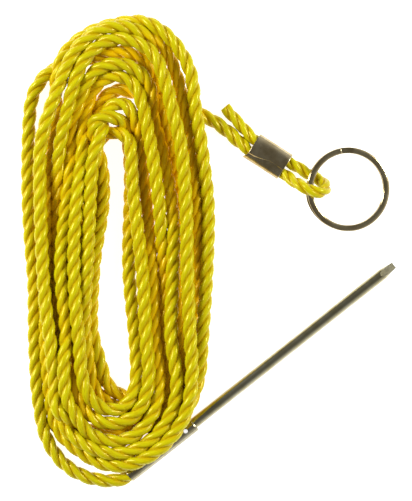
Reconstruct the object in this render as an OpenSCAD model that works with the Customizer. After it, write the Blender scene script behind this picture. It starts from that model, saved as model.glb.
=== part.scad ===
/* [Cord] */
// Diameter of the laid cord
cord_d = 4.6; // [4.2:0.1:4.8]
// Diameter of the cord where the crimp and the ring squeeze it
eye_cord_d = 4; // [3.6:0.1:4.2]

/* [Hank] */
// Distance between the centres of the hank's two round ends
hank_straight = 91; // [85:1:100]
// Radius of the far round end
hank_top_r = 32; // [30:0.5:33]
// Radius of the near round end
hank_low_r = 31; // [29:0.5:31.5]
// Height of the hank on the table
hank_h = 12; // [10:0.5:16]
// Width of the open slot inside the turns
slot_w = 7; // [4:0.5:9]
// Length of the open slot inside the turns
slot_l = 84; // [60:1:90]

/* [Eye ferrule] */
// Length of the crimped sleeve
ferrule_l = 13.2; // [12:0.1:14]
// Width of the crimped sleeve
ferrule_w = 9.9; // [9.7:0.1:10.4]
// Thickness of the crimped sleeve
ferrule_h = 5.8; // [5.6:0.1:6]
// Thickness of the sheet metal
ferrule_wall = 0.55; // [0.4:0.05:0.6]
// Width of the open seam where the sheet's edges meet
ferrule_seam = 0.3; // [0.2:0.1:0.4]

/* [Split ring] */
// Outer diameter of the ring
ring_od = 28.6; // [28:0.1:29]
// Radial width of the flat wire
ring_w = 2.1; // [1.8:0.1:2.2]
// Thickness of the two coils together
ring_t = 2.2; // [2:0.1:2.3]
// Height of the ring's wire where the cord holds it
ring_hold_z = 5.9; // [5.8:0.1:6.1]

/* [Needle] */
// Length from the socket's mouth to the tip
needle_l = 115.4; // [110:0.1:120]
// Diameter of the shaft
shaft_d = 3.8; // [3.6:0.1:3.9]
// Length of the socket
socket_l = 28.5; // [26:0.5:31]
// Outer diameter of the socket
socket_d = 4.9; // [4.8:0.1:5]
// Inner diameter of the socket
socket_bore = 4.2; // [4:0.1:4.3]
// Diameter of the cross hole
cross_hole_d = 1.5; // [1:0.1:1.8]
// Distance from the mouth to the cross hole
cross_hole_x = 24.7; // [23:0.1:25]

/* [Hidden] */
$fn = 64;
eps = 0.01;
yellow = "gold";

// The hank: a stadium whose ends differ a little, lying on the table
hank_at = [-49, -24];
pocket_h = 6;

// The needle: its mouth, its direction in plan, and the height of its axis
needle_at = [-45, -57.3];
needle_turn = 38.3;
needle_z = socket_d / 2;
shaft_shift = 0.4;
tang_d = 3.2;
tang_l = 10;
taper_l = 4.8;
tip_d = 2.2;
hank_gap = 4;
// The cord bends here, just outside the mouth
needle_pivot = 2.7;

// The eye end: the ferrule's centre and direction in plan
ferrule_at = [2.7, 51.5];
ferrule_turn = -33;
ferrule_z = ferrule_h / 2;
pass_y = 2.15;
lead_pivot = [-29, -0.5];
lead_swing = [-59, 6];

// The ring hangs on its wire at the cord's eye and rests on its far edge
ring_at = [16.8, 42.7];
ring_turn = -10.4;
wire_r = (ring_od - ring_w) / 2;
wire_round = 0.45;
wire_low = (ring_w / 2 - wire_round) * sin(10) + (ring_t / 2 - wire_round) * cos(10) + wire_round;
ring_tilt = asin((ring_hold_z - wire_low) / (2 * wire_r));

// Cord routes: points on the centre line, worked by hand
needle_lead_route = [
    [-74.5, -40], [-73, -45], [-71, -48.5], [-68.5, -52], [-65, -55], [-61.5, -57],
    [-58, -58.2], [-54.5, -58.8], [-51, -59]
];
ring_lead_route = [[-26, -0.3], [-21, 0], [-15.5, -0.5]];
tail_route = [[-8.6, 2.3, 2.6], [-11, 3, 2.3], [-16, 4.3, 2.3], [-21.8, 5.9, 2.3]];
eye_route = [
    [9, 2.2, 2.5], [12, 2.3, 2], [15, 2.4, 2], [17.8, 2.7, 2.4], [20.3, 2.6, 3.8],
    [21.9, 1.8, 5.7], [22.1, 0.3, 7.8], [20.9, -1.2, 9.4], [18.7, -2.1, 9.9], [16.1, -2.4, 9.6],
    [13.6, -2.5, 8], [11.4, -2.5, 5.8], [9.2, -2.3, 3.8], [7.8, -2.15, 3.1]
];
tube_sides = 10;

function unit(v) = v / norm(v);
function heading(p, i) =
    i == 0 ? unit(p[1] - p[0])
    : i == len(p) - 1 ? unit(p[i] - p[i - 1])
    : unit(unit(p[i + 1] - p[i]) + unit(p[i] - p[i - 1]));
function section(c, t, r) =
    let (side = unit(cross(t, [0, 0, 1])), up = cross(side, t))
    [for (k = [0:tube_sides - 1])
        c + r * (cos(360 * k / tube_sides) * side + sin(360 * k / tube_sides) * up)];

// Rings that close a tube with a round nose: the last ring of the tube is at c
nose_angles = [30, 55, 75, 87];
function nose_points(c, t, r) = [for (a = nose_angles) c + t * r * sin(a)];
function nose_radii(r) = [for (a = nose_angles) r * cos(a)];
function at_height(route, z) = [for (p = route) [p[0], p[1], z]];

// One closed tube through the points p, with a radius at each
module tube(p, radii) {
    rings = [for (i = [0:len(p) - 1]) each section(p[i], heading(p, i), radii[i])];
    n = tube_sides;
    last = (len(p) - 1) * n;
    walls = [for (i = [0:len(p) - 2], k = [0:n - 1])
        let (a = i * n + k, b = i * n + (k + 1) % n)
        each [[a, b, b + n], [a, b + n, a + n]]];
    caps = [[for (k = [n - 1:-1:0]) k], [for (k = [0:n - 1]) last + k]];
    polyhedron(points = rings, faces = concat(walls, caps));
}

module at_needle() {
    translate([needle_at[0], needle_at[1], needle_z]) rotate([0, 0, needle_turn]) children();
}

module at_eye() {
    translate([ferrule_at[0], ferrule_at[1], 0]) rotate([0, 0, ferrule_turn]) children();
}

module obround(w, h) {
    translate([(h - w) / 2, 0]) circle(d = h);
    translate([(w - h) / 2, 0]) circle(d = h);
    square([w - h, h], center = true);
}

// Stadium with end circles of two sizes
module hank_outline() {
    lean = asin((hank_top_r - hank_low_r) / hank_straight);
    dx = cos(lean);
    dy = sin(lean);
    circle(r = hank_low_r);
    translate([0, hank_straight]) circle(r = hank_top_r);
    polygon([
        [-hank_low_r * dx, -hank_low_r * dy],
        [hank_low_r * dx, -hank_low_r * dy],
        [hank_top_r * dx, hank_straight - hank_top_r * dy],
        [-hank_top_r * dx, hank_straight - hank_top_r * dy]
    ]);
}

// Room under the hank for the cord that runs to the ring, through its swing
module ring_lead_pocket() {
    gap = cord_d / 2 + 0.5;
    reach = 24;
    low = lead_swing[0] - ferrule_turn;
    high = lead_swing[1] - ferrule_turn;
    middle = (low + high) / 2;
    along_low = [cos(low), sin(low)];
    along_high = [cos(high), sin(high)];
    near_low = gap * [along_low[1], -along_low[0]];
    near_high = gap * [-along_high[1], along_high[0]];
    behind = -1.6 * gap * [cos(middle), sin(middle)];
    at_eye() translate([lead_pivot[0], lead_pivot[1], -1])
        linear_extrude(pocket_h + 1)
            polygon([
                near_low, near_low + reach * along_low, near_high + reach * along_high,
                near_high, behind
            ]);
}

module cord_hank() {
    color(yellow) difference() {
        translate([hank_at[0], hank_at[1], 0])
            linear_extrude(hank_h)
                difference() {
                    hank_outline();
                    translate([0, hank_straight / 2]) rotate(90) obround(slot_l, slot_w);
                }
        at_needle() translate([-20, -40, -needle_z - 1]) cube([90, 40 + hank_gap, pocket_h + 1]);
        ring_lead_pocket();
    }
}

// Runs free from the hank to the needle's mouth
module cord_needle_lead() {
    r = cord_d / 2;
    turn = [cos(needle_turn), sin(needle_turn)];
    end = concat(needle_at - needle_pivot * turn, r);
    path = concat(at_height(needle_lead_route, r), [end]);
    t = unit(end - path[len(path) - 2]);
    color(yellow) tube(
        concat(path, nose_points(end, t, r)),
        concat([for (p = path) r], nose_radii(r))
    );
}

// Runs free from under the hank to the ferrule
module cord_ring_lead() {
    r = cord_d / 2;
    squeezed = eye_cord_d / 2;
    start = concat(lead_pivot, r);
    path = concat(
        [start], at_height(ring_lead_route, r),
        [[-9.5, -1.6, 2.5], [-ferrule_l / 2 - 1, -pass_y, ferrule_z], [-ferrule_l / 2, -pass_y, ferrule_z]]
    );
    radii = [r, r, r, r, squeezed, squeezed, squeezed];
    t = unit(start - path[1]);
    tip = nose_points(start, t, r);
    tip_r = nose_radii(r);
    last = len(tip) - 1;
    color(yellow) at_eye() tube(
        concat([for (i = [last:-1:0]) tip[i]], path),
        concat([for (i = [last:-1:0]) tip_r[i]], radii)
    );
}

// The two passes of cord, pressed into one block inside the ferrule
module cord_in_ferrule() {
    color(yellow) at_eye() translate([-ferrule_l / 2, 0, ferrule_z]) rotate([90, 0, 90])
        linear_extrude(ferrule_l)
            obround(ferrule_w - 2 * ferrule_wall, ferrule_h - 2 * ferrule_wall);
}

// The loop that holds the ring
module cord_eye() {
    face = ferrule_l / 2;
    path = concat(
        [[face, pass_y, ferrule_z], [face + 0.8, pass_y, ferrule_z]],
        eye_route,
        [[face, -pass_y, ferrule_z]]
    );
    color(yellow) at_eye() tube(path, [for (p = path) eye_cord_d / 2]);
}

// The cut end that sticks out of the ferrule
module cord_tail() {
    face = -ferrule_l / 2;
    path = concat([[face, pass_y, ferrule_z], [face - 0.8, pass_y, ferrule_z]], tail_route);
    color(yellow) at_eye() tube(path, [for (p = path) eye_cord_d / 2]);
}

// The stretch of cord crimped inside the needle's socket
module cord_in_socket() {
    color(yellow) at_needle() rotate([0, 90, 0])
        cylinder(d = socket_bore, h = socket_l - tang_l);
}

// Rolled and crimped sheet sleeve with an open seam along its upper side
module eye_ferrule() {
    color("tan") at_eye() difference() {
        translate([-ferrule_l / 2, 0, ferrule_z]) rotate([90, 0, 90])
            linear_extrude(ferrule_l)
                difference() {
                    obround(ferrule_w, ferrule_h);
                    obround(ferrule_w - 2 * ferrule_wall, ferrule_h - 2 * ferrule_wall);
                }
        translate([-ferrule_l / 2 - 1, -pass_y - ferrule_seam / 2, ferrule_z])
            cube([ferrule_l + 2, ferrule_seam, ferrule_h]);
    }
}

module wire_section() {
    w = ring_w - 2 * wire_round;
    t = ring_t - 2 * wire_round;
    for (x = [-w / 2, w / 2], y = [-t / 2, t / 2])
        translate([x, y]) circle(r = wire_round, $fn = 24);
    square([ring_w, t], center = true);
    square([w, ring_t], center = true);
}

// Two coils of flat wire pressed together, with a groove between them
module split_ring() {
    groove = 0.2;
    color("darkkhaki")
        translate([ring_at[0], ring_at[1], ring_hold_z])
            rotate([0, ring_tilt, ring_turn])
                translate([wire_r, 0, 0])
                    difference() {
                        rotate_extrude($fn = 96)
                            translate([wire_r, 0])
                                difference() {
                                    wire_section();
                                    for (x = [-ring_w / 2, ring_w / 2])
                                        translate([x, 0]) rotate(45) square(groove, center = true);
                                }
                        for (side = [-1, 1])
                            rotate([0, 0, 102 + 9 * side])
                                translate([wire_r - ring_w, -0.15, side < 0 ? -ring_t : eps])
                                    cube([2 * ring_w, 0.3, ring_t - eps]);
                    }
}

module needle_socket() {
    r = socket_d / 2;
    color("darkkhaki") at_needle() difference() {
        rotate([0, 90, 0]) rotate_extrude()
            polygon([
                [socket_bore / 2, 0], [r - 0.25, 0], [r - 0.1, 0.4], [r, 6],
                [r, socket_l - 0.4], [r - 0.2, socket_l], [socket_bore / 2, socket_l]
            ]);
        translate([cross_hole_x, 0, 0]) cylinder(d = cross_hole_d, h = socket_d + 1, center = true);
    }
}

// Solid shaft with a tang in the socket and a bevelled tip
module needle_shaft() {
    cone_x = needle_l - taper_l;
    color("darkkhaki") at_needle() translate([0, shaft_shift, 0]) difference() {
        rotate([0, 90, 0]) rotate_extrude()
            polygon([
                [0, socket_l - tang_l], [tang_d / 2, socket_l - tang_l], [tang_d / 2, socket_l],
                [shaft_d / 2, socket_l], [shaft_d / 2, cone_x], [tip_d / 2, needle_l], [0, needle_l]
            ]);
        translate([cross_hole_x, -shaft_shift, 0])
            cylinder(d = cross_hole_d, h = socket_d + 1, center = true);
        translate([cone_x - 1, 0, shaft_d / 2]) rotate([0, 17, 0])
            translate([0, -5, 0]) cube([10, 10, 5]);
    }
}

cord_hank();
cord_needle_lead();
cord_ring_lead();
cord_in_ferrule();
cord_eye();
cord_tail();
cord_in_socket();
eye_ferrule();
split_ring();
needle_socket();
needle_shaft();
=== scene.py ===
"""Rope fish stringer: a hank of yellow laid cord with a needle at one end and a split ring at the other."""

import math

import bpy
import numpy as np
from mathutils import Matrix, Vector


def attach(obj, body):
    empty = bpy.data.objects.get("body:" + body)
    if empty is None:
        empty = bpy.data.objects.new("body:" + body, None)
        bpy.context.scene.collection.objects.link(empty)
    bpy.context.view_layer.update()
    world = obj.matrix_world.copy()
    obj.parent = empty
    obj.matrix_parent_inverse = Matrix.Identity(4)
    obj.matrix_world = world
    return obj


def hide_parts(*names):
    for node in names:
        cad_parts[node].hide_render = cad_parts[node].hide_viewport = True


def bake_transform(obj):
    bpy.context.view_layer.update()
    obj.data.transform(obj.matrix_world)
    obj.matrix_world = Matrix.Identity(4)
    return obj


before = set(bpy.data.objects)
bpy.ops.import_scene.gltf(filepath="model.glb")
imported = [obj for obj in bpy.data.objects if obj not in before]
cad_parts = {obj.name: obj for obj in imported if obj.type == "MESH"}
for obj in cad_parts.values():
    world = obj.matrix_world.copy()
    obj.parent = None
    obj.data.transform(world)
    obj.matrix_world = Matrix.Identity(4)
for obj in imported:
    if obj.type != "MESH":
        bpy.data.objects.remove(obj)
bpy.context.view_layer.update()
MM = 0.001

# ---------------------------------------------------------------- sizes, in millimetres

CORD_D = 4.6
EYE_CORD_D = 4.0
SQUEEZED = 0.9  # thickness left where the ferrule is crimped on the cord
CORD_R = CORD_D / 2
LAY = 16.7  # length in which a strand goes once round the cord

# The hank is wound round two end centres; columns of cord run between them
FAR_END = np.array([-49.0, 67.0])
NEAR_END = np.array([-49.0, -24.0])
TIGHT_END = np.array([-50.0, 56.5])  # centre of the innermost folds
COLUMN_Y = (-24, -11, 13, 36.5, 57, 67)
LAYER = 4.3  # height of one layer of cord on the next

# The needle
NEEDLE_AT = np.array([-45.0, -57.3, 2.45])
NEEDLE_TURN = math.radians(38.3)
NEEDLE_L = 115.4
SOCKET_L = 28.5
SOCKET_R = 2.45
SHAFT_R = 1.9
SHAFT_SHIFT = 0.4
NEEDLE_PIVOT = 2.7

# The ferrule and the cord's eye
FERRULE_AT = np.array([2.7, 51.5, 0.0])
FERRULE_TURN = math.radians(-33)
FERRULE_L = 13.2
FERRULE_W = 9.9
FERRULE_H = 5.8
FERRULE_WALL = 0.55
FERRULE_Z = FERRULE_H / 2
PASS_Y = 2.15
LEAD_PIVOT = (-29.0, -0.5, CORD_R)

# The split ring
RING_AT = np.array([16.8, 42.7, 5.9])
RING_TURN = math.radians(-10.4)
RING_TILT = math.radians(10.228)
RING_OD = 28.6
RING_W = 2.1
RING_T = 2.2
WIRE_R = (RING_OD - RING_W) / 2

# Cord routes in the table's frame, from the needle's mouth up the hank's side
NEEDLE_ROUTE = [
    (-51, -59), (-54.5, -58.8), (-58, -58.2), (-61.5, -57), (-65, -55), (-68.5, -52), (-71, -48.5),
    (-73, -45), (-74.5, -40), (-75.3, -35), (-76, -28), (-76.5, -14.5), (-76.8, 2.5), (-78.3, 20),
    (-79.3, 37), (-79.3, 54), (-78.7, 67), (-77.8, 72.5), (-75.6, 76.5), (-72.6, 79.3), (-69.2, 81.5),
]
# Beneath the hank to the ring's lead
UNDER_ROUTE = [(-38.5, 70.3), (-31, 68.8), (-25.8, 67.6)]

# Routes in the ferrule's frame: x along the ferrule to the ring, z from the table
RING_LEAD_ROUTE = [
    LEAD_PIVOT, (-26, -0.3, 2.3), (-21, 0, 2.3), (-15.5, -0.5, 2.3), (-9.5, -1.6, 2.5),
    (-6.6, -2.15, 2.9), (-3, -2.15, 2.9), (0, -2.15, 2.9),
]
TAIL_ROUTE = [(-21.8, 5.9, 2.3), (-16, 4.3, 2.3), (-11, 3, 2.3), (-8.6, 2.3, 2.6), (-6.6, 2.15, 2.9)]
EYE_ROUTE = [
    (6.6, 2.15, 2.9), (9, 2.2, 2.5), (12, 2.3, 2), (15, 2.4, 2), (17.8, 2.7, 2.4), (20.3, 2.6, 3.8),
    (21.9, 1.8, 5.7), (22.1, 0.3, 7.8), (20.9, -1.2, 9.4), (18.7, -2.1, 9.9), (16.1, -2.4, 9.6),
    (13.6, -2.5, 8), (11.4, -2.5, 5.8), (9.2, -2.3, 3.8), (7.8, -2.15, 3.1), (6.6, -2.15, 2.9),
]

# Each turn of the hank: how far out it lies at the stations round the hank, and in which layer.
# A column's stations are COLUMN_Y; an arc's are its angles. None leaves a station out.
TOP_ANGLES = (150, 120, 135, 90, 45, 60, 30)  # the third and fifth are about TIGHT_END
LOW_ANGLES = (-30, -60, -90, -120, -150)
N_ = None
TURNS = [
    {
        "left": None,
        "top": ([N_, 20.1, N_, 20.5, N_, 19.3, 16], [0, 0.2, 0, 0.9, 0, 0.5, 0]),
        "right": ([15.8, 18.8, 20.8, 20.5, 21.5, 22.5], [0, 0, 0, 0, 0, 0]),
        "low": ([18.5, 9.5, 5, 5, 4.5], [0, 0, 0, 0, 0]),
    },
    {
        "left": ([4.5, 9, 8, 5, 7, N_], [0, 0, 0.5, 0.4, 0.8, 0]),
        "top": ([N_, N_, 8.2, -2.9, 7.5, N_, N_], [0, 0, 1.3, 1.4, 1, 0, 0]),
        "right": ([N_, 5, 4.5, 4, 6.2, 6.8], [0, 0, 0, 0.3, 0.5, 0.8]),
        "low": ([7.2, 9.4, 11, 11.4, 12], [1, 1, 1.1, 1.2, 1.5]),
    },
    {
        "left": ([12, 12.5, 14.5, 13.5, 10.5, 10], [1.6, 1.6, 1.6, 1.6, 0.9, 0.4]),
        "top": ([11.3, 11.8, N_, 12.2, N_, 11.4, 9.3], [0.5, 0.9, 0, 1, 0, 1.1, 1.2]),
        "right": ([8.6, 11.2, 14.3, 16, 16.5, 17.5], [1.2, 1.4, 1.6, 0.2, 0, 0]),
        "low": ([20, 17.9, 18.8, 20.8, 22.3], [0, 0, 0, 0.3, 0.9]),
    },
    {
        "left": ([20.5, 23, 25, 26, 25.7, 22.7], [1, 1.2, 1.2, 1.2, 1.3, 1.6]),
        "top": ([21.5, 25.5, N_, 29, N_, 27.8, 23.6], [1.6, 1.4, 0, 1.3, 0, 0.9, 0.7]),
        "right": ([23.1, 24.6, 27.5, 28, 27.5, 25], [0.8, 0.5, 0.7, 0.3, 0, 0]),
        "low": ([22, 14.5, 9.6, 9, 8], [0, 0, 0, 0, 0]),
    },
    {
        "left": ([9, 11, 10, 9, 8, 5], [0, 0.6, 1.3, 1.6, 1.5, 1]),
        "top": ([3.5, 2.9, N_, 3.4, N_, 4.1, 4.5], [1, 0.9, 0, 0.9, 0, 0.9, 1]),
        "right": ([5.5, 7.5, 10, 11.9, 13, 14.6], [1, 0.2, 0.1, 0.4, 0.5, 0.7]),
        "low": ([15.8, 18.8, 21.7, 22, 21], [0.9, 1.2, 1.2, 1.2, 1.3]),
    },
    {
        "left": ([18.5, 17, 19, 17, 14.4, 12], [1.5, 1.2, 1.2, 1, 0.5, 0.8]),
        "top": ([13.9, 15.9, N_, 16.4, N_, 15.8, 13.8], [1.2, 1.3, 0, 1.5, 0, 1.3, 0.6]),
        "right": ([12, 14.5, 18.5, 19, 18.5, 20.5], [0, 0.5, 1, 1, 1.1, 1.2]),
        "low": ([22, 24.2, 26.5, 25.5, 20], [1.2, 1.3, 1.3, 1, 0.4]),
    },
    {
        "left": ([13, 14.5, 12.5, 8.5, 7, N_], [0, 0, 0, 0, 0.1, 0]),
        "top": ([N_, N_, 5.8, -6.1, 5.4, N_, N_], [0, 0, 0.6, 0.8, 0.8, 0, 0]),
        "right": ([N_, 4, 5.9, 8.6, 10.1, 11.2], [0, 1.1, 1, 1.1, 1.2, 1.3]),
        "low": ([11.5, 14, 15.3, 15.9, 15.8], [1.3, 1.2, 1.2, 1.1, 0.8]),
    },
    {
        "left": ([15.5, 18.5, 21, 21, 19, 16.5], [0.3, 0, 0, 0.2, 1.3, 1.6]),
        "top": ([15.5, 21, N_, 25, N_, 23.5, 19.1], [1.6, 1.5, 0, 1.4, 0, 1.7, 2]),
        "right": ([18.9, 21.5, 23.5, 24, 25, 26], [2, 1.9, 1.8, 1.8, 1.7, 1.6]),
        "low": ([26.5, 28, 29, 26.3, 24.4], [1.7, 1.6, 1.2, 0.8, 0.3]),
    },
    {
        "left": ([23.1, 23.3, 23.5, 23.2, 21.8, 20.5], [0.4, 0.4, 0.3, 0.1, 0, 0]),
        "top": ([24.3, 27.7, N_, 29.8, N_, 31, 28.6], [0.2, 0.2, 0, 0.3, 0, 1.3, 1.4]),
        "right": ([26.6, 28.5, 30.5, 30.5, 29, 27.5], [1.4, 1.3, 1, 1, 1, 1]),
        "low": ([25, 23.5, 26.5, 25, 20.5], [0.5, 0.2, 0.2, 0.1, 0]),
    },
    {
        "left": ([17.5, 19, 16, 12.5, 11, 8.5], [0, 0, 0, 0, 0, 0]),
        "top": ([7.6, 7.0, N_, 8.0, N_, 8.1, 9.6], [0, 0, 0, 0, 0, 0, 0]),
        "right": None,
        "low": None,
    },
]


# ---------------------------------------------------------------- camera

CAMERA_HEIGHT = 1.4
PICTURE = (0.1401, 0.1703)  # what the picture spans on the table
PICTURE_CENTRE = (-0.0187, 0.0195)

camera_data = bpy.data.cameras.new("camera")
camera_data.sensor_fit = "VERTICAL"
camera_data.lens = camera_data.sensor_height * (CAMERA_HEIGHT - 0.005) / PICTURE[1]
camera_data.clip_start = 0.01
camera = bpy.data.objects.new("camera", camera_data)
camera.location = (*PICTURE_CENTRE, CAMERA_HEIGHT)
bpy.context.scene.collection.objects.link(camera)
bpy.context.scene.camera = camera


# ---------------------------------------------------------------- curves and frames


def turned(points, at, turn):
    """Points of a part's own frame in the table's frame: a turn about Z and a shift."""
    p = np.array(points, float)
    c, s = math.cos(turn), math.sin(turn)
    out = p.copy()
    out[:, 0] = at[0] + c * p[:, 0] - s * p[:, 1]
    out[:, 1] = at[1] + s * p[:, 0] + c * p[:, 1]
    return out


def at_eye(points):
    return turned(points, FERRULE_AT, FERRULE_TURN)


def at_needle(points):
    """Points of the needle's frame (x from the mouth to the tip, z from its axis)."""
    out = turned(points, NEEDLE_AT, NEEDLE_TURN)
    out[:, 2] += NEEDLE_AT[2]
    return out


def spline(points, step):
    """A smooth line through the points (centripetal Catmull-Rom), with samples about step apart."""
    p = np.array(points, float)
    p = np.vstack([2 * p[0] - p[1], p, 2 * p[-1] - p[-2]])
    out = []
    for a, b, c, d in zip(p[:-3], p[1:-2], p[2:-1], p[3:]):
        t1 = np.linalg.norm(b - a) ** 0.5
        t2 = t1 + np.linalg.norm(c - b) ** 0.5
        t3 = t2 + np.linalg.norm(d - c) ** 0.5
        t = np.linspace(t1, t2, 24, endpoint=False)[:, None]
        ab = (t1 - t) / t1 * a + t / t1 * b
        bc = (t2 - t) / (t2 - t1) * b + (t - t1) / (t2 - t1) * c
        cd = (t3 - t) / (t3 - t2) * c + (t - t2) / (t3 - t2) * d
        abc = (t2 - t) / t2 * ab + t / t2 * bc
        bcd = (t3 - t) / (t3 - t1) * bc + (t - t1) / (t3 - t1) * cd
        out.append((t2 - t) / (t2 - t1) * abc + (t - t1) / (t2 - t1) * bcd)
    out.append(p[-2][None])
    return even(np.vstack(out), step)


def lengths(line):
    return np.concatenate([[0], np.cumsum(np.linalg.norm(np.diff(line, axis=0), axis=1))])


def even(line, step):
    """The same line with evenly spaced points."""
    along = lengths(line)
    at = np.linspace(0, along[-1], max(2, int(round(along[-1] / step)) + 1))
    return np.stack([np.interp(at, along, line[:, k]) for k in range(line.shape[1])], axis=1)


def smooth(line, times):
    """The line with its small wobbles averaged out; its ends stay."""
    p = line.copy()
    for _ in range(times):
        p[1:-1] = 0.5 * p[1:-1] + 0.25 * (p[:-2] + p[2:])
    return p


# ---------------------------------------------------------------- the hank's turns


def column(row, side):
    """A pass along the hank: side is -1 up the left and 1 down the right."""
    ys = COLUMN_Y if side < 0 else COLUMN_Y[::-1]
    return [
        (FAR_END[0] + side * out, y, CORD_R + LAYER * layer)
        for y, out, layer in zip(ys, *row) if out is not None
    ]


def arc(row, angles, centre):
    """A fold round one end of the hank."""
    points = []
    for k, (angle, out, layer) in enumerate(zip(angles, *row)):
        if out is None:
            continue
        middle = TIGHT_END if angles is TOP_ANGLES and k in (2, 4) else centre
        a = math.radians(angle)
        points.append(
            (middle[0] + out * math.cos(a), middle[1] + out * math.sin(a), CORD_R + LAYER * layer)
        )
    return points


def cord_guide():
    """The whole cord from inside the needle's socket to the middle of the ferrule, before it settles."""
    inside = at_needle([(x, 0, -NEEDLE_AT[2] + CORD_R) for x in (14, 9, 4, 0, -NEEDLE_PIVOT)])
    points = [tuple(p) for p in inside]
    points += [(x, y, CORD_R) for x, y in NEEDLE_ROUTE]
    for turn in TURNS:
        if turn["left"]:
            points += column(turn["left"], -1)
        points += arc(turn["top"], TOP_ANGLES, FAR_END)
        if turn["right"]:
            points += column(turn["right"], 1)
            points += arc(turn["low"], LOW_ANGLES, NEAR_END)
    points += [(x, y, CORD_R) for x, y in UNDER_ROUTE]
    points += [tuple(p) for p in at_eye(RING_LEAD_ROUTE)]
    return spline(points, NODE_STEP)


NODE_STEP = 2.3
TOUCH = 0.925 * CORD_D  # cords press this close to each other
STEPS = 300
OVERSHOOT = 0.6
RENEW = 12  # steps between two searches for neighbours
REACH = TOUCH + 2.5  # neighbours are looked for this far off
HELD_AT_NEEDLE = 60  # length of cord that stays put from the socket on
HELD_AT_FERRULE = 34  # and before the ferrule
SINK = 0.02  # fall in one step
LAYER_PULL = 0.10
PLACE_PULL = 0.10  # at the start; friction lets go of some of it as the cord settles
PLACE_LET_GO = 0.06
STIFFNESS = 0.22


def neighbours(p, reach, apart):
    """Pairs of nodes that are near each other in space and far apart along the cord."""
    first, second = [], []
    for i in range(0, len(p), 256):
        d = np.linalg.norm(p[i : i + 256, None, :] - p[None], axis=2)
        a, b = np.nonzero(d < reach)
        a = a + i
        keep = b > a + apart
        first.append(a[keep])
        second.append(b[keep])
    return np.concatenate(first), np.concatenate(second)


def keep_off_needle(p, free):
    """Moves nodes out of the needle, which lies on the table under the hank's edge."""
    ends = at_needle([(0, 0, 0), (SOCKET_L, 0, 0), (SOCKET_L, SHAFT_SHIFT, 0), (NEEDLE_L, SHAFT_SHIFT, 0)])
    for a, b, r in ((ends[0], ends[1], SOCKET_R), (ends[2], ends[3], SHAFT_R)):
        d = b - a
        t = np.clip((p - a) @ d / (d @ d), 0, 1)
        away = p - a - t[:, None] * d
        far = np.linalg.norm(away, axis=1)
        least = r + 0.97 * CORD_R
        hit = (far < least) & free
        p[hit] += away[hit] * (least / far[hit] - 1)[:, None]


def settle(guide, start):
    """Lays the cord down: it keeps its length, falls, and comes to rest on itself and the table."""
    p = start.copy()
    n = len(p)
    rest = np.linalg.norm(np.diff(guide, axis=0), axis=1)
    along = lengths(guide)
    free = (along > HELD_AT_NEEDLE) & (along < along[-1] - HELD_AT_FERRULE)
    loose = free.astype(float)[:, None]
    apart = int(1.7 * CORD_D / NODE_STEP)
    tangent = np.gradient(guide, axis=0)
    tangent[:, 2] = 0
    tangent /= np.linalg.norm(tangent, axis=1)[:, None]
    for step in range(STEPS):
        if step % RENEW == 0:
            i, j = neighbours(p, REACH, apart)
        late = step / STEPS
        # weight, and the layer that each stretch was laid in
        p[free, 2] += (guide[free, 2] - p[free, 2]) * LAYER_PULL - SINK
        # friction holds each stretch over its own place on the table
        back = guide - p
        back[:, 2] = 0
        back -= (back * tangent).sum(1)[:, None] * tangent
        p += loose * back * (PLACE_PULL - PLACE_LET_GO * late)
        # stiffness evens out the bends that the contacts make
        bent = p - guide
        p[1:-1] += loose[1:-1] * STIFFNESS * (0.5 * (bent[:-2] + bent[2:]) - bent[1:-1])
        # contacts
        for _ in range(2):
            d = p[i] - p[j]
            far = np.linalg.norm(d, axis=1)
            hit = far < TOUCH
            push = d[hit] / far[hit, None] * (0.5 * (TOUCH - far[hit]))[:, None]
            move = np.zeros_like(p)
            count = np.zeros(n)
            np.add.at(move, i[hit], push)
            np.add.at(move, j[hit], -push)
            np.add.at(count, i[hit], 1)
            np.add.at(count, j[hit], 1)
            p += loose * move / np.maximum(count, 1)[:, None] * 1.2
            keep_off_needle(p, free)
            p[:, 2] = np.maximum(p[:, 2], np.where(free, CORD_R, p[:, 2]))
        # constant length
        for odd in (0, 1, 0, 1):
            a, b = np.arange(odd, n - 1, 2), np.arange(odd + 1, n, 2)
            d = p[b] - p[a]
            far = np.linalg.norm(d, axis=1)
            pull = d * (0.5 * (1 - rest[a] / far))[:, None]
            p[a] += loose[a] * pull
            p[b] -= loose[b] * pull
    return p


def settled_cord():
    """The cord at rest.

    A second pass aims inside the places where the crowded turns pushed each other out.
    """
    guide = cord_guide()
    first = settle(guide, guide)
    drift = smooth(first - guide, 12)
    aim = guide - OVERSHOOT * drift
    start = aim.copy()
    start[:, 2] = first[:, 2]
    return smooth(settle(aim, start), 3)


cord_line = settled_cord()


# ---------------------------------------------------------------- laid cord

RING_STEP = 1.15
STRAND_SIDES = 10
STRAND_OFF = 1.12
STRAND_R = 1.34


def carried_frames(line):
    """Tangents and two crosswise directions that turn as little as they can along the line."""
    t = np.gradient(line, axis=0)
    t /= np.linalg.norm(t, axis=1)[:, None]
    u = np.zeros_like(t)
    side = np.cross([0.0, 0.0, 1.0], t[0])
    u[0] = side / np.linalg.norm(side)
    for k in range(1, len(line)):
        v = u[k - 1] - (u[k - 1] @ t[k]) * t[k]
        u[k] = v / np.linalg.norm(v)
    return t, u, np.cross(t, u)


SECTORS = 16
SHADE_REACH = 12


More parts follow.
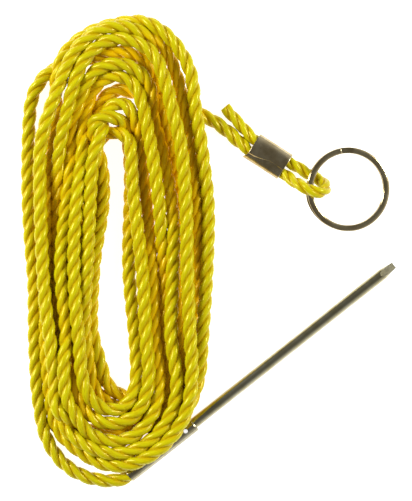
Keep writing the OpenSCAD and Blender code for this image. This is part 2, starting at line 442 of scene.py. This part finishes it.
def buried(line, others):
    """How much of the sky the cords around and above hide from each point of the line, from 0 to 1; this
    drives the painted shade in the cord's colour.
    """
    highest = np.zeros((len(line), SECTORS))
    for k in range(0, len(line), 256):
        d = others[None] - line[k : k + 256, None]
        flat = np.hypot(d[..., 0], d[..., 1])
        a, b = np.nonzero((flat < SHADE_REACH) & (d[..., 2] > 0.5))
        d, flat = d[a, b], flat[a, b]
        sine = (d[:, 2] + 1) / np.hypot(np.maximum(flat - CORD_R, 0.3), d[:, 2] + 1)
        heading = np.arctan2(d[:, 1], d[:, 0]) / (2 * math.pi) * SECTORS
        for turn in (-0.5, 0.5):
            np.maximum.at(highest, (a + k, np.floor(heading + turn).astype(int) % SECTORS), sine)
    return highest.mean(axis=1)


def add_mesh(name, vertices, faces, uvs=None, material=None):
    """A smooth-shaded mesh object; uvs has one pair for each corner of each face."""
    mesh = bpy.data.meshes.new(name)
    mesh.from_pydata(vertices, [], faces)
    mesh.validate()
    if uvs is not None:
        layer = mesh.uv_layers.new(name="UVMap")
        layer.data.foreach_set("uv", np.array(uvs, np.float32).ravel())
    mesh.polygons.foreach_set("use_smooth", np.ones(len(mesh.polygons), bool))
    obj = bpy.data.objects.new(name, mesh)
    bpy.context.scene.collection.objects.link(obj)
    if material is not None:
        mesh.materials.append(material)
    return obj


def laid_cord(name, line, size, material, start_turn=0.0):
    """Three strands twisted right-handed round the line. size is the thickness at each point, 1 for full."""
    # painted shade: how far the cords around and above hide each point, stored on the mesh to tint the
    # colour there
    buried_shade = np.tile(np.repeat(smooth(buried(line, cord_line)[:, None], 4)[:, 0], STRAND_SIDES), 3)
    t, u, v = carried_frames(line)
    along = lengths(line)
    n = len(line)
    corners = 2 * math.pi * np.arange(STRAND_SIDES) / STRAND_SIDES
    vertices, faces, uvs = [], [], []
    for strand in range(3):
        turn = start_turn + 2 * math.pi * (along / LAY + strand / 3)
        out = np.cos(turn)[:, None] * u + np.sin(turn)[:, None] * v
        across = np.cross(t, out)
        wide = 1 / math.cos(math.atan(2 * math.pi * STRAND_OFF / LAY))
        centre = line + out * (STRAND_OFF * size)[:, None]
        ring = (
            centre[:, None]
            + (STRAND_R * size)[:, None, None]
            * (np.cos(corners)[None, :, None] * out[:, None]
               + wide * np.sin(corners)[None, :, None] * across[:, None])
        )
        base = len(vertices)
        vertices += list((ring.reshape(-1, 3) * MM).tolist())
        for k in range(n - 1):
            for c in range(STRAND_SIDES):
                d = (c + 1) % STRAND_SIDES
                a = base + k * STRAND_SIDES
                faces.append((a + c, a + d, a + STRAND_SIDES + d, a + STRAND_SIDES + c))
                x0, x1 = along[k] * 0.1, along[k + 1] * 0.1
                y0, y1 = strand + c / STRAND_SIDES, strand + (c + 1) / STRAND_SIDES
                uvs += [(x0, y0), (x0, y1), (x1, y1), (x1, y0)]
        for ends, step in ((range(STRAND_SIDES - 1, -1, -1), 0), (range(STRAND_SIDES), n - 1)):
            faces.append(tuple(base + step * STRAND_SIDES + c for c in ends))
            uvs += [(along[step] * 0.1, strand + 0.5)] * STRAND_SIDES
    obj = add_mesh(name, vertices, faces, uvs, material)
    obj.data.attributes.new("buried_shade", "FLOAT", "POINT").data.foreach_set("value", buried_shade)
    return obj


# ---------------------------------------------------------------- materials


def shader(name):
    m = bpy.data.materials.new(name)
    m.use_nodes = True
    return m, m.node_tree.nodes["Principled BSDF"]


def node(owner, kind, inputs, **settings):
    """Adds a shader node; its inputs are other nodes' sockets or plain values."""
    n = owner.node_tree.nodes.new("ShaderNode" + kind)
    for key, value in settings.items():
        setattr(n, key, value)
    for key, value in inputs.items():
        if isinstance(value, bpy.types.NodeSocket):
            owner.node_tree.links.new(value, n.inputs[key])
        else:
            n.inputs[key].default_value = value
    return n


def link(m, p, **sockets):
    for key, value in sockets.items():
        m.node_tree.links.new(value, p.inputs[key.replace("_", " ")])


def mixed(m, factor, a, b):
    return node(m, "Mix", {0: factor, 6: a, 7: b}, data_type="RGBA").outputs[2]


def eased(m, value, low, high, to_low=0.0, to_high=1.0):
    """The value's place between low and high, eased at both ends."""
    inputs = {0: value, 1: low, 2: high, 3: to_low, 4: to_high}
    return node(m, "MapRange", inputs, interpolation_type="SMOOTHSTEP").outputs[0]


YELLOW = (0.65, 0.6, 0.003, 1)
YELLOW_DARK = (0.54, 0.42, 0.001, 1)
# painted shade colour for cord that other cords cover
YELLOW_BURIED_SHADE = (0.84, 0.52, 0.0005, 1)
# painted shade colour for the valleys between the strands
YELLOW_VALLEY_SHADE = (0.56, 0.37, 0.0005, 1)
FILAMENT_SLANT = 0.64  # the filaments run nearly along the cord, against the strands' twist


def cord_material():
    """Glossy filaments, a little uneven in colour.

    Painted shade darkens and oranges the colour in the valleys between strands and where other cords cover
    them.
    """
    m, p = shader("laid_cord_yellow")
    uv = node(m, "UVMap", {}).outputs[0]
    parts = node(m, "SeparateXYZ", {0: uv}).outputs
    slanted = {0: parts[0], 1: FILAMENT_SLANT, 2: parts[1]}
    slant = node(m, "Math", slanted, operation="MULTIPLY_ADD").outputs[0]
    across = node(m, "Math", {0: slant, 1: 26.0}, operation="MULTIPLY").outputs[0]
    along = node(m, "Math", {0: parts[0], 1: 1.6}, operation="MULTIPLY").outputs[0]
    place = node(m, "CombineXYZ", {0: along, 1: across}).outputs[0]
    filaments = node(m, "TexNoise", {"Vector": place, "Scale": 1.0, "Detail": 3.0}).outputs[0]
    patches = node(m, "TexNoise", {"Vector": uv, "Scale": 2.2, "Detail": 2.0}).outputs[0]
    tone = mixed(m, eased(m, filaments, 0.3, 0.6), YELLOW_DARK, YELLOW)
    tone = mixed(m, eased(m, patches, 0.25, 0.6, 0.35, 0.0), tone, YELLOW_DARK)
    # Painted shade: the valleys between strands get a darker, oranger colour.
    from_crest = node(m, "Math", {0: parts[1], 1: 0.5}, operation="PINGPONG").outputs[0]
    tone = mixed(m, eased(m, from_crest, 0.08, 0.26, 0.0, 0.8), tone, YELLOW_VALLEY_SHADE)
    # Painted shade: stretches that other cords cover turn a deeper orange.
    buried_shade = node(m, "Attribute", {}, attribute_name="buried_shade").outputs["Fac"]
    tone = mixed(m, eased(m, buried_shade, 0.30, 0.85), tone, YELLOW_BURIED_SHADE)
    bump = node(m, "Bump", {"Strength": 0.25, "Distance": 0.0001, "Height": filaments}).outputs[0]
    link(m, p, Base_Color=tone, Roughness=eased(m, filaments, 0.3, 0.7, 0.27, 0.18), Normal=bump)
    p.inputs["Specular IOR Level"].default_value = 0.55
    p.inputs["Specular Tint"].default_value = (1, 0.9, 0.22, 1)
    return m


def metal_material(name, light, dark, roughness, turn, grain):
    """Plated metal with fine drawing marks along one direction and a faint uneven tarnish."""
    m, p = shader(name)
    place = node(m, "TexCoord", {}).outputs["Object"]
    spun = node(m, "Mapping", {0: place, "Rotation": (0, 0, -turn)}).outputs[0]
    stretched = node(m, "Mapping", {0: spun, "Scale": (60.0 * grain, 1500.0, 1500.0)}).outputs[0]
    marks = node(m, "TexNoise", {"Vector": stretched, "Scale": 1.0, "Detail": 2.0}).outputs[0]
    stains = node(m, "TexNoise", {"Vector": place, "Scale": 260.0, "Detail": 4.0}).outputs[0]
    tone = mixed(m, eased(m, stains, 0.35, 0.7), light, dark)
    rough = eased(m, marks, 0.3, 0.7, roughness * 0.9, roughness * 1.15)
    bump = node(m, "Bump", {"Strength": 0.05, "Distance": 0.00002, "Height": marks}).outputs[0]
    link(m, p, Base_Color=tone, Roughness=rough, Normal=bump)
    p.inputs["Metallic"].default_value = 1.0
    return m


cord_yellow = cord_material()

# ---------------------------------------------------------------- cord pieces

along_cord = lengths(cord_line)
under_hank = np.array([*NEEDLE_ROUTE[-1], CORD_R])
cut_a = int(np.argmin(np.linalg.norm(cord_line[:120] - under_hank, axis=1))) + 6
cut_b = len(cord_line) - 1 - int(
    np.argmin(np.linalg.norm(cord_line[::-1][:60] - np.array([*UNDER_ROUTE[1], CORD_R]), axis=1))
)

lead_line = even(cord_line[: cut_a + 1], RING_STEP)[::-1]
main_line = even(cord_line[cut_a : cut_b + 1], RING_STEP)
ring_line = even(cord_line[cut_b:], RING_STEP)
eye_line = smooth(
    spline(np.vstack([at_eye(TAIL_ROUTE), at_eye(EYE_ROUTE), at_eye([(0, -PASS_Y, FERRULE_Z)])]), 1.0), 2
)

main = laid_cord("rope_main", main_line, np.ones(len(main_line)), cord_yellow)
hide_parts("cord_hank")
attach(main, "hank")

lead = laid_cord("rope_needle_lead", lead_line, np.ones(len(lead_line)), cord_yellow)
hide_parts("cord_needle_lead", "cord_in_socket")
pivot = at_needle([(-NEEDLE_PIVOT, 0, 0)])[0] * MM
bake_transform(lead)

to_end = lengths(ring_line)[-1] - lengths(ring_line)
ring_size = np.interp(to_end, (6, 12), (SQUEEZED * EYE_CORD_D / CORD_D, 1))
ring_lead = laid_cord("rope_ring_lead", ring_line, ring_size, cord_yellow)
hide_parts("cord_ring_lead")
pivot = at_eye([LEAD_PIVOT])[0] * MM
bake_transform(ring_lead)

from_ferrule = np.linalg.norm(eye_line[:, :2] - FERRULE_AT[:2], axis=1) - FERRULE_L / 2
eye_size = np.interp(from_ferrule, (-1, 2), (SQUEEZED, 1)) * EYE_CORD_D / CORD_D
eye = laid_cord("rope_eye", eye_line, eye_size, cord_yellow)
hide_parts("cord_eye", "cord_tail", "cord_in_ferrule")
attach(eye, "eye_end")

# ---------------------------------------------------------------- needle

needle_steel = metal_material(
    "needle_steel", (0.44, 0.41, 0.28, 1), (0.38, 0.34, 0.19, 1), 0.2, NEEDLE_TURN, 1
)
socket_steel = metal_material(
    "socket_steel", (0.44, 0.41, 0.29, 1), (0.36, 0.31, 0.18, 1), 0.22, NEEDLE_TURN, 1
)
for name, material in (("needle_shaft", needle_steel), ("needle_socket", socket_steel)):
    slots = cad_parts[name].data.materials
    slots.clear()
    slots.append(material)

# ---------------------------------------------------------------- ferrule and split ring


def tube_grid(rings, closed):
    """Vertices and faces of a grid of closed sections; a closed grid joins its last section to its first."""
    count, sides = len(rings), len(rings[0])
    vertices = [tuple(v) for ring in rings for v in ring]
    faces = []
    for k in range(count if closed else count - 1):
        n = (k + 1) % count
        for c in range(sides):
            d = (c + 1) % sides
            faces.append((k * sides + c, k * sides + d, n * sides + d, n * sides + c))
    if not closed:
        faces.append(tuple(range(sides - 1, -1, -1)))
        faces.append(tuple((count - 1) * sides + c for c in range(sides)))
    return vertices, faces


SEAM_X = (-6.6, -4.1, -1.5, 1.0, 3.5, 6.6)
SEAM_Y = (-2.85, -2.7, -2.1, -1.25, -1.2, -1.55)
LAP = 0.26  # step down from the outer lap to the sheet under it
SQUARE = 0.92  # how boxy the ferrule's section is: 1 for an ellipse
DENT = 0.28  # depth of the crimp in the middle of its upper side
DENT_L = 5.2
DENT_W = 2.6
DENT_Y = 0.6
LIP = 0.9  # how far the thin corner sticks out at the lead's end


def ferrule_section(x, grow, outer):
    """One section of the ferrule's sheet, across the ferrule at x."""
    angles = 2 * math.pi * np.arange(128) / 128
    c, s = np.cos(angles), np.sin(angles)
    y = (FERRULE_W / 2 + grow) * np.sign(c) * np.abs(c) ** SQUARE
    z = (FERRULE_H / 2 + grow) * np.sign(s) * np.abs(s) ** SQUARE
    top = np.clip(s * 3, 0, 1)
    z = z - top * DENT * math.exp(-((x / DENT_L) ** 4)) * np.exp(-(((y - DENT_Y) / DENT_W) ** 2))
    if outer:
        seam = np.interp(x, SEAM_X, SEAM_Y)
        below = 1 / (1 + np.exp((y - seam) / 0.05))
        z = z - top * (LAP + 0.05 * np.clip(seam - y, 0, 2)) * below
        y = y + 0.2 * below * np.clip(s, 0, 1)
    lip = LIP * np.exp(-(((y + FERRULE_W / 2) / 1.1) ** 2)) * max(0.0, -x / FERRULE_L * 2) ** 6
    return np.stack([x - lip, y, z + FERRULE_Z], axis=1)


def ferrule():
    half = FERRULE_L / 2
    edge = 0.14  # rounding of the sheet's cut edges
    stations = [(-half, -edge, True), (-half + 0.3 * edge, -0.3 * edge, True)]
    stations += [(x, 0.0, True) for x in np.linspace(-half + edge, half - edge, 40)]
    stations += [(half - 0.3 * edge, -0.3 * edge, True), (half, -edge, True)]
    stations += [(x, -FERRULE_WALL, False) for x in np.linspace(half, -half, 30)]
    rings = [at_eye(ferrule_section(*station)) * MM for station in stations]
    vertices, faces = tube_grid(rings, True)
    m = metal_material("ferrule_plate", (0.56, 0.47, 0.29, 1), (0.40, 0.31, 0.16, 1), 0.22, FERRULE_TURN, 20)
    obj = add_mesh("ferrule_sheet", vertices, faces, material=m)
    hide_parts("eye_ferrule")
    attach(obj, "eye_end")


WIRE_T = 1.06  # the ring's wire is flat: two coils of it lie on each other
COIL_Z = RING_T / 4
WIRE_END = 111  # degrees round the ring from the eye's far side
JOG = 18  # degrees over which the wire steps from the upper coil to the lower
GAPE = 208  # where the coils stand a little apart
GAPE_SPREAD = 26
GAPE_OUT = 0.38


def wire_section(scale):
    """The flat wire's rounded section, about its own centre: out from the ring's axis, and up."""
    angles = 2 * math.pi * (np.arange(20) + 0.5) / 20
    c, s = np.cos(angles), np.sin(angles)
    return (
        scale * RING_W / 2 * np.sign(c) * np.abs(c) ** 0.6,
        scale * WIRE_T / 2 * np.sign(s) * np.abs(s) ** 0.6,
    )


def split_ring():
    first, last = WIRE_END, WIRE_END + 720 - JOG
    degrees = np.concatenate([[first, first + 0.25], np.arange(first + 1, last, 1.5), [last - 0.25, last]])
    rings = []
    for k, degree in enumerate(degrees):
        end = min(k, len(degrees) - 1 - k)
        out, up = wire_section((0.8, 0.94)[end] if end < 2 else 1.0)
        step = np.clip((degree - (WIRE_END + 360 - JOG)) / JOG, 0, 1)
        step = step * step * (3 - 2 * step)
        apart = math.exp(-(((degree % 360 - GAPE) / GAPE_SPREAD) ** 2)) * (degree > WIRE_END + 360)
        r = WIRE_R + out + GAPE_OUT * apart
        z = COIL_Z * (1 - 2 * step) + up
        a = math.radians(degree)
        x = WIRE_R + r * math.cos(a)
        tilted = [
            x * math.cos(RING_TILT) + z * math.sin(RING_TILT),
            r * math.sin(a),
            z * math.cos(RING_TILT) - x * math.sin(RING_TILT) + RING_AT[2],
        ]
        rings.append(turned(np.stack(tilted, axis=1), RING_AT, RING_TURN) * MM)
    vertices, faces = tube_grid(rings, False)
    m = metal_material("ring_steel", (0.58, 0.49, 0.29, 1), (0.44, 0.34, 0.17, 1), 0.16, 0.0, 40)
    obj = add_mesh("split_ring_coils", vertices, faces, material=m)
    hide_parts("split_ring")
    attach(obj, "ring")


ferrule()
split_ring()

# ---------------------------------------------------------------- floor and light


def floor():
    m, p = shader("floor_white")
    p.inputs["Base Color"].default_value = (0.8, 0.8, 0.8, 1)
    p.inputs["Roughness"].default_value = 0.9
    p.inputs["Emission Color"].default_value = (1, 1, 1, 1)
    p.inputs["Emission Strength"].default_value = 0.9
    size = 3.0
    corners = [(-size, -size, 0), (size, -size, 0), (size, size, 0), (-size, size, 0)]
    plane = add_mesh("floor", corners, [(0, 1, 2, 3)], material=m)


def area_light(name, place, aim, size, power):
    data = bpy.data.lights.new(name, "AREA")
    data.shape = "RECTANGLE"
    data.size, data.size_y = size
    data.energy = power
    lamp = bpy.data.objects.new(name, data)
    lamp.location = place
    lamp.rotation_euler = (Vector(aim) - Vector(place)).to_track_quat("-Z", "Y").to_euler()
    bpy.context.scene.collection.objects.link(lamp)


def surroundings():
    """A light tent: bright round the sides, dim overhead, and reaching higher on the right."""
    world = bpy.data.worlds.new("light_tent")
    world.use_nodes = True
    way = node(world, "TexCoord", {}).outputs["Generated"]
    parts = node(world, "SeparateXYZ", {0: way}).outputs
    lean = node(world, "Math", {0: parts[0], 1: -0.7, 2: parts[2]}, operation="MULTIPLY_ADD").outputs[0]
    strength = eased(world, lean, -0.05, 0.72, 0.72, 0.16)
    world.node_tree.links.new(strength, world.node_tree.nodes["Background"].inputs["Strength"])
    world.node_tree.nodes["Background"].inputs["Color"].default_value = (1, 1, 1, 1)
    bpy.context.scene.world = world


floor()
area_light("key", (-0.88, 0.26, 0.60), (0, 0.02, 0), (0.45, 0.45), 11.5)
area_light("fill", (0.80, 0.30, 0.60), (0, 0.02, 0), (0.25, 0.25), 6.3)
surroundings()
bpy.context.scene.view_settings.view_transform = "Standard"
